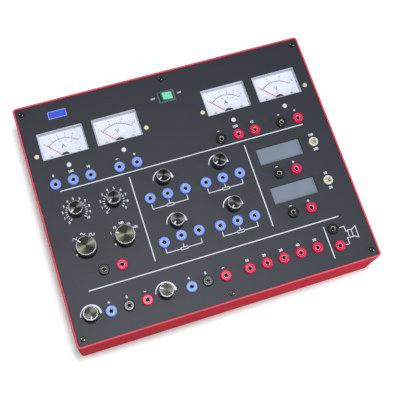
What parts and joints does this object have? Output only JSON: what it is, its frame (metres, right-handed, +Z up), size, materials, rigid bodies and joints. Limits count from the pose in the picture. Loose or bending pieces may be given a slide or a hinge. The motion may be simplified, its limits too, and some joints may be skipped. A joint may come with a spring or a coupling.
{
  "type": "electrical trainer",
  "caption": "Bench trainer for teaching electricity: red case with a dark panel of coloured plug sockets, analog and digital meters, rotary knobs and a lit mains switch.",
  "frame": {"origin": "on the ground under the middle of the case", "axes": "+X to the user's right along the long side, +Y to the back, away from the user, +Z up out of the panel"},
  "size_m": [0.3286, 0.2676, 0.0783],
  "materials": {
    "case": "gloss red",
    "panel": "satin dark grey",
    "dark_screws": "black",
    "feet": "matte black",
    "blue_plastic": "gloss",
    "red_plastic": "gloss",
    "black_plastic": "gloss",
    "sleeves": "nickel plated",
    "plated_nuts": "plated",
    "control_bodies": "satin",
    "moulded_black": "moulded",
    "clear_cover": "clear",
    "dial_white": "matte white",
    "magnets": "dark",
    "brass_screws": "bright",
    "display_glass": "grey blue",
    "board_green": "satin",
    "rocker_grey": "satin",
    "rocker_green": "translucent",
    "core_steel": "laminated",
    "winding_tape": "tape",
    "speaker_steel": "black",
    "speaker_paper": "pressed paper",
    "knobs": "spun top, black side",
    "shafts": "bright",
    "needles": "painted red",
    "adjuster_white": "moulded"
  },
  "bodies": {
    "case": {"case_tray": "case", "front_panel": "panel", "panel_screws": "dark_screws", "rubber_feet": "feet", "blue_socket_heads": "blue_plastic", "red_socket_heads": "red_plastic", "black_socket_heads": "black_plastic", "socket_sleeves": "sleeves", "socket_nuts": "plated_nuts", "pot_bodies": "control_bodies", "selector_bodies": "moulded_black", "control_nuts": "plated_nuts", "meter_housings": "moulded_black", "meter_windows": "clear_cover", "meter_dials": "dial_white", "meter_movements": "magnets", "meter_straps": "control_bodies", "meter_screws": "brass_screws", "display_glasses": "display_glass", "display_boards": "board_green", "rocker_frame": "rocker_grey", "toggle_bodies": "moulded_black", "transformer_core": "core_steel", "transformer_winding": "winding_tape", "circuit_boards": "board_green", "board_components": "moulded_black", "speaker_basket": "speaker_steel", "speaker_cone": "speaker_paper", "mains_inlet": "moulded_black"},
    "amplitude": {"amplitude_knob": "knobs", "amplitude_shaft": "shafts"},
    "frequency": {"frequency_knob": "knobs", "frequency_shaft": "shafts"},
    "pot_1": {"pot_1_knob": "knobs", "pot_1_shaft": "shafts"},
    "pot_2": {"pot_2_knob": "knobs", "pot_2_shaft": "shafts"},
    "pot_3": {"pot_3_knob": "knobs", "pot_3_shaft": "shafts"},
    "pot_4": {"pot_4_knob": "knobs", "pot_4_shaft": "shafts"},
    "supply_1": {"supply_1_knob": "knobs", "supply_1_shaft": "shafts"},
    "supply_2": {"supply_2_knob": "knobs", "supply_2_shaft": "shafts"},
    "function": {"function_knob": "knobs", "function_shaft": "shafts"},
    "range": {"range_knob": "knobs", "range_shaft": "shafts"},
    "needle_1": {"needle_1": "needles"},
    "zero_adjuster_1": {"zero_adjuster_1": "adjuster_white"},
    "needle_2": {"needle_2": "needles"},
    "zero_adjuster_2": {"zero_adjuster_2": "adjuster_white"},
    "needle_3": {"needle_3": "needles"},
    "zero_adjuster_3": {"zero_adjuster_3": "adjuster_white"},
    "needle_4": {"needle_4": "needles"},
    "zero_adjuster_4": {"zero_adjuster_4": "adjuster_white"},
    "rocker": {"rocker_button": "rocker_green"},
    "toggle_1": {"toggle_lever_1": "plated_nuts"},
    "toggle_2": {"toggle_lever_2": "plated_nuts"}
  },
  "joints": [
    {"name": "amplitude_turn", "type": "hinge", "parent": "case", "child": "amplitude", "pos_m": [-0.1278, 0.0044, 0.062], "axis": [0, 0, -1], "range_deg": [-12, 258]},
    {"name": "frequency_turn", "type": "hinge", "parent": "case", "child": "frequency", "pos_m": [-0.0877, 0.0039, 0.062], "axis": [0, 0, -1], "range_deg": [-11, 259]},
    {"name": "pot_1_turn", "type": "hinge", "parent": "case", "child": "pot_1", "pos_m": [-0.0312, 0.0124, 0.062], "axis": [0, 0, -1], "range_deg": [-28, 272]},
    {"name": "pot_2_turn", "type": "hinge", "parent": "case", "child": "pot_2", "pos_m": [0.031, 0.0124, 0.062], "axis": [0, 0, -1], "range_deg": [-31, 269]},
    {"name": "pot_3_turn", "type": "hinge", "parent": "case", "child": "pot_3", "pos_m": [-0.0313, -0.0371, 0.062], "axis": [0, 0, -1], "range_deg": [-19, 281]},
    {"name": "pot_4_turn", "type": "hinge", "parent": "case", "child": "pot_4", "pos_m": [0.031, -0.0371, 0.062], "axis": [0, 0, -1], "range_deg": [-6, 294]},
    {"name": "supply_1_turn", "type": "hinge", "parent": "case", "child": "supply_1", "pos_m": [-0.1421, -0.1046, 0.062], "axis": [0, 0, -1], "range_deg": [0, 300]},
    {"name": "supply_2_turn", "type": "hinge", "parent": "case", "child": "supply_2", "pos_m": [-0.0638, -0.1043, 0.062], "axis": [0, 0, -1], "range_deg": [-92, 208]},
    {"name": "function_turn", "type": "hinge", "parent": "case", "child": "function", "pos_m": [-0.128, -0.0376, 0.062], "axis": [0, 0, -1], "range_deg": [0, 60]},
    {"name": "range_turn", "type": "hinge", "parent": "case", "child": "range", "pos_m": [-0.0873, -0.0377, 0.062], "axis": [0, 0, -1], "range_deg": [0, 120]},
    {"name": "needle_1_turn", "type": "hinge", "parent": "case", "child": "needle_1", "pos_m": [-0.1219, 0.0675, 0.0569], "axis": [0, 0, -1], "range_deg": [0, 86], "stiffness_Nm_per_rad": 0.00001},
    {"name": "zero_adjuster_1_turn", "type": "hinge", "parent": "case", "child": "zero_adjuster_1", "pos_m": [-0.1219, 0.0561, 0.062], "axis": [0, 0, 1], "range_deg": [-90, 90]},
    {"name": "needle_2_turn", "type": "hinge", "parent": "case", "child": "needle_2", "pos_m": [-0.0618, 0.0675, 0.0569], "axis": [0, 0, -1], "range_deg": [0, 86], "stiffness_Nm_per_rad": 0.00001},
    {"name": "zero_adjuster_2_turn", "type": "hinge", "parent": "case", "child": "zero_adjuster_2", "pos_m": [-0.0618, 0.0561, 0.062], "axis": [0, 0, 1], "range_deg": [-90, 90]},
    {"name": "needle_3_turn", "type": "hinge", "parent": "case", "child": "needle_3", "pos_m": [0.0628, 0.0675, 0.0569], "axis": [0, 0, -1], "range_deg": [0, 86], "stiffness_Nm_per_rad": 0.00001},
    {"name": "zero_adjuster_3_turn", "type": "hinge", "parent": "case", "child": "zero_adjuster_3", "pos_m": [0.0628, 0.0561, 0.062], "axis": [0, 0, 1], "range_deg": [-90, 90]},
    {"name": "needle_4_turn", "type": "hinge", "parent": "case", "child": "needle_4", "pos_m": [0.1229, 0.0675, 0.0569], "axis": [0, 0, -1], "range_deg": [0, 86], "stiffness_Nm_per_rad": 0.00001},
    {"name": "zero_adjuster_4_turn", "type": "hinge", "parent": "case", "child": "zero_adjuster_4", "pos_m": [0.1229, 0.0561, 0.062], "axis": [0, 0, 1], "range_deg": [-90, 90]},
    {"name": "rocker_turn", "type": "hinge", "parent": "case", "child": "rocker", "pos_m": [0, 0.103, 0.061], "axis": [0, -1, 0], "range_deg": [0, 22]},
    {"name": "toggle_1_turn", "type": "hinge", "parent": "case", "child": "toggle_1", "pos_m": [0.1386, 0.0071, 0.0642], "axis": [-1, 0, 0], "range_deg": [0, 24]},
    {"name": "toggle_2_turn", "type": "hinge", "parent": "case", "child": "toggle_2", "pos_m": [0.1386, -0.039, 0.0642], "axis": [-1, 0, 0], "range_deg": [0, 24]}
  ]
}
